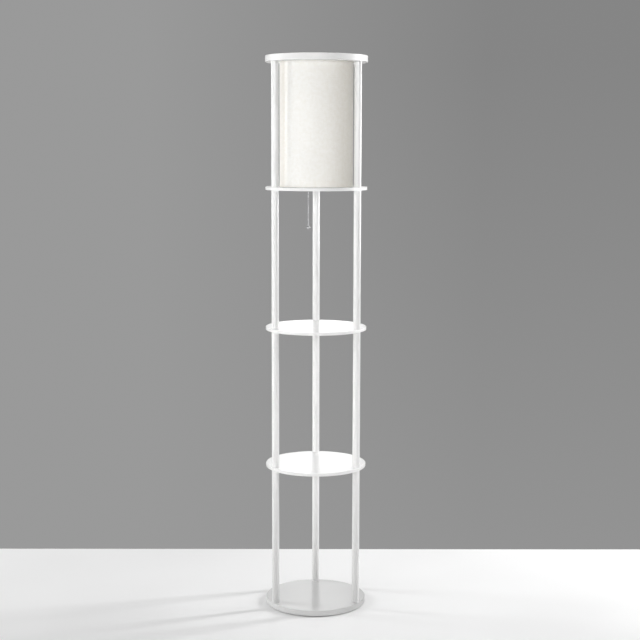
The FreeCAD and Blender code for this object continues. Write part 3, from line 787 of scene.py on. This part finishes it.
def chain_joint():
    """The coupling between the two chains, a ball cut off flat at both ends."""
    low, high = heights_of("chain_coupling")
    outline = [(0, low)] + arc(2.2 * MM, (low + high) / 2, -65, 65, 10) + [(0, high)]
    chain_piece("chain_joint", "chain_coupling", "chain_link", outline, 28)


def chain_ball():
    """The ball that the hand takes, with a flat at the chain's end."""
    low, high = heights_of("pull_ball")
    radius, flat_radius = 5.5 * MM, 1.5 * MM
    middle = (low + high) / 2
    outline = [(0, middle - radius)] + arc(radius, middle, -86, 70, 26)
    outline += [(flat_radius, high), (0, high)]
    chain_piece("chain_ball", "pull_ball", "chain_lower", outline, 48)


def eyelet():
    """The flared sleeve that the chain runs through in the platform."""
    low, high = heights_of("chain_eyelet")
    sleeve, bore, lip = 3.4 * MM, 2.4 * MM, 4.2 * MM
    under, bend, slope, flare = 0.6 * MM, 0.3 * MM, 0.4 * MM, 0.5 * MM
    half = [(sleeve, under), (lip, under), (lip, bend), (lip - slope, 0), (bore + flare, 0),
            (bore, flare)]
    outline = [(radius, low + rise) for radius, rise in half]
    outline += [(radius, high - rise) for radius, rise in reversed(half)]
    chain_piece("flared_eyelet", "chain_eyelet", "frame", outline, 48, CHROME)


upper_beads()
lower_beads()
chain_joint()
chain_ball()
eyelet()
smooth_all()

# -------------------------------------------------- the CAD pieces that stay shown
KEPT = {"floor_pads": GREY_FELT, "tie_bolts": ZINC, "lead_pipe": BRASS, "lock_nuts": ZINC,
        "lead_bushing": BLACK_NYLON, "channel_cover": WIRE_ENAMEL, "shade_fitter": WIRE_ENAMEL,
        "socket_nipple": ZINC, "socket_core": IVORY_RESIN, "centre_contact": BRASS,
        "switch_lever": IVORY_RESIN, "lever_axle": ZINC, "return_spring": ZINC,
        "chain_spout": ALUMINIUM}
for node, material in KEPT.items():
    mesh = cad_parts[node].data
    mesh.materials.clear()
    mesh.materials.append(material)


# ---------------------------------------------------------- the floor and backdrop
FLOOR_SIDE = 5.0
FLOOR_FRONT_EDGE = -6.0
FLOOR_REAR_EDGE = 0.524
FLOOR_WHITE = (0.905, 0.905, 0.905)
BACKDROP_LEFT = (0.322, 0.322, 0.322)
BACKDROP_RIGHT = (0.236, 0.236, 0.236)


def stage_floor():
    """A pale floor that ends behind the lamp, before a plain grey backdrop."""
    mesh = bpy.data.meshes.new("floor")
    corners = [(-FLOOR_SIDE, FLOOR_FRONT_EDGE, 0), (FLOOR_SIDE, FLOOR_FRONT_EDGE, 0),
               (FLOOR_SIDE, FLOOR_REAR_EDGE, 0), (-FLOOR_SIDE, FLOOR_REAR_EDGE, 0)]
    mesh.from_pydata(corners, [], [(0, 1, 2, 3)])
    floor = bpy.data.objects.new("floor", mesh)
    bpy.context.collection.objects.link(floor)
    material, shader = new_material("floor_sheet", FLOOR_WHITE, 0.5)
    texture = noise(material, coordinates(material, "Object"), 3, 3)
    smear(material, shader, texture, 0.45, 0.6)
    mesh.materials.append(material)


def backdrop():
    """A plain grey with painted shading: it darkens from the left to the right, and more so higher
    up.
    """
    world = bpy.data.worlds.new("backdrop")
    world.use_nodes = True
    background = world.node_tree.nodes["Background"]
    texture = add_node(world, "ShaderNodeTexCoord")
    direction = parts_of(world, texture.outputs["Generated"])
    rightward = spread(world, direction["X"], 0, 1, -0.12, 0.12)
    height = spread(world, direction["Z"], 0.35, 1, -0.28, 0.06)
    # painted shading: the backdrop's grey falls off to the right and upward, where less light
    # reaches it
    painted_falloff = blend_of(world, rightward, height, "MULTIPLY")
    tint(world, painted_falloff, BACKDROP_LEFT, BACKDROP_RIGHT, background.inputs["Color"])
    bpy.context.scene.world = world


stage_floor()
backdrop()


# ---------------------------------------------------------------------- the lights
KNEE = (0, 0, 0.5)
WAIST = (0, 0, 1.0)
CHEST = (0, 0, 1.2)
KEY_PLACE = (-2.05, -2.05, 1.2)
KEY_SIZE = (0.7, 1.5)
KEY_POWER = 3.2
KEY_GRID = 60


def softbox(name, place, target, size, power, grid=180):
    """A rectangular soft light that faces a point. A grid narrows its cone, in degrees."""
    data = bpy.data.lights.new(name, "AREA")
    data.shape = "RECTANGLE"
    data.size, data.size_y = size
    data.energy = power
    data.spread = math.radians(grid)
    light = bpy.data.objects.new(name, data)
    bpy.context.collection.objects.link(light)
    light.visible_camera = False
    light.location = place
    aim = Vector(target) - Vector(place)
    light.rotation_euler = aim.to_track_quat("-Z", "Y").to_euler()
    return light


def link_light(light, pieces, state):
    """Keep a light off some pieces (EXCLUDE), as a black card does, or on them alone (INCLUDE)."""
    receivers = bpy.data.collections.new(light.name + "_flag")
    for piece in pieces:
        receivers.objects.link(piece)
    for entry in receivers.collection_objects:
        entry.light_linking.link_state = state
    light.light_linking.receiver_collection = receivers


key = softbox("key_left", KEY_PLACE, CHEST, KEY_SIZE, KEY_POWER, KEY_GRID)
softbox("front_fill", (0, -5.2, 1.6), (0, 0, 1.25), size=(2.0, 1.6), power=4.82, grid=30)
softbox("low_fill", (-0.9, -3.6, 1.5), KNEE, size=(0.8, 0.4), power=0.344, grid=12)
softbox("left_rear_strip", (-2.35, 0.6, 1.5), CHEST, size=(0.35, 1.3), power=20.9)
softbox("left_strip", (-2.4, -0.25, 1.1), WAIST, size=(0.35, 1.7), power=5.62)
right_strip = softbox("right_rear_strip", (2.2, 0.84, 1.5), CHEST, size=(0.3, 1.3), power=46)
right_side = softbox("right_side", (2.3, 0.1, 1.5), CHEST, size=(0.5, 1.3), power=8.09)
softbox("overhead", (0, 0, 3.2), (0, 0, 0), size=(2.5, 2.5), power=18.1)
softbox("right_rear_spot", (1.6, 1.6, 2.4), (0, 0, 0.9), size=(0.5, 0.5), power=1.43, grid=90)
softbox("rear_card", (0, 3.2, 1.2), KNEE, size=(0.45, 0.6), power=1.6)
softbox("rear_top", (0, 3.0, 1.7), (0, 0, 0.62), size=(1.2, 0.5), power=0.2, grid=30)
for light in (right_side, key):
    link_light(light, SHADE_PIECES, "EXCLUDE")
link_light(right_strip, SHADE_PIECES + [BASE_BOARD], "EXCLUDE")

# a cooler key that the shade alone receives
shade_key = softbox("shade_key", KEY_PLACE, CHEST, KEY_SIZE, KEY_POWER, KEY_GRID)
shade_key.data.color = (0.9, 0.985, 1.13)
link_light(shade_key, SHADE_PIECES, "INCLUDE")

bpy.context.scene.view_settings.view_transform = "Standard"
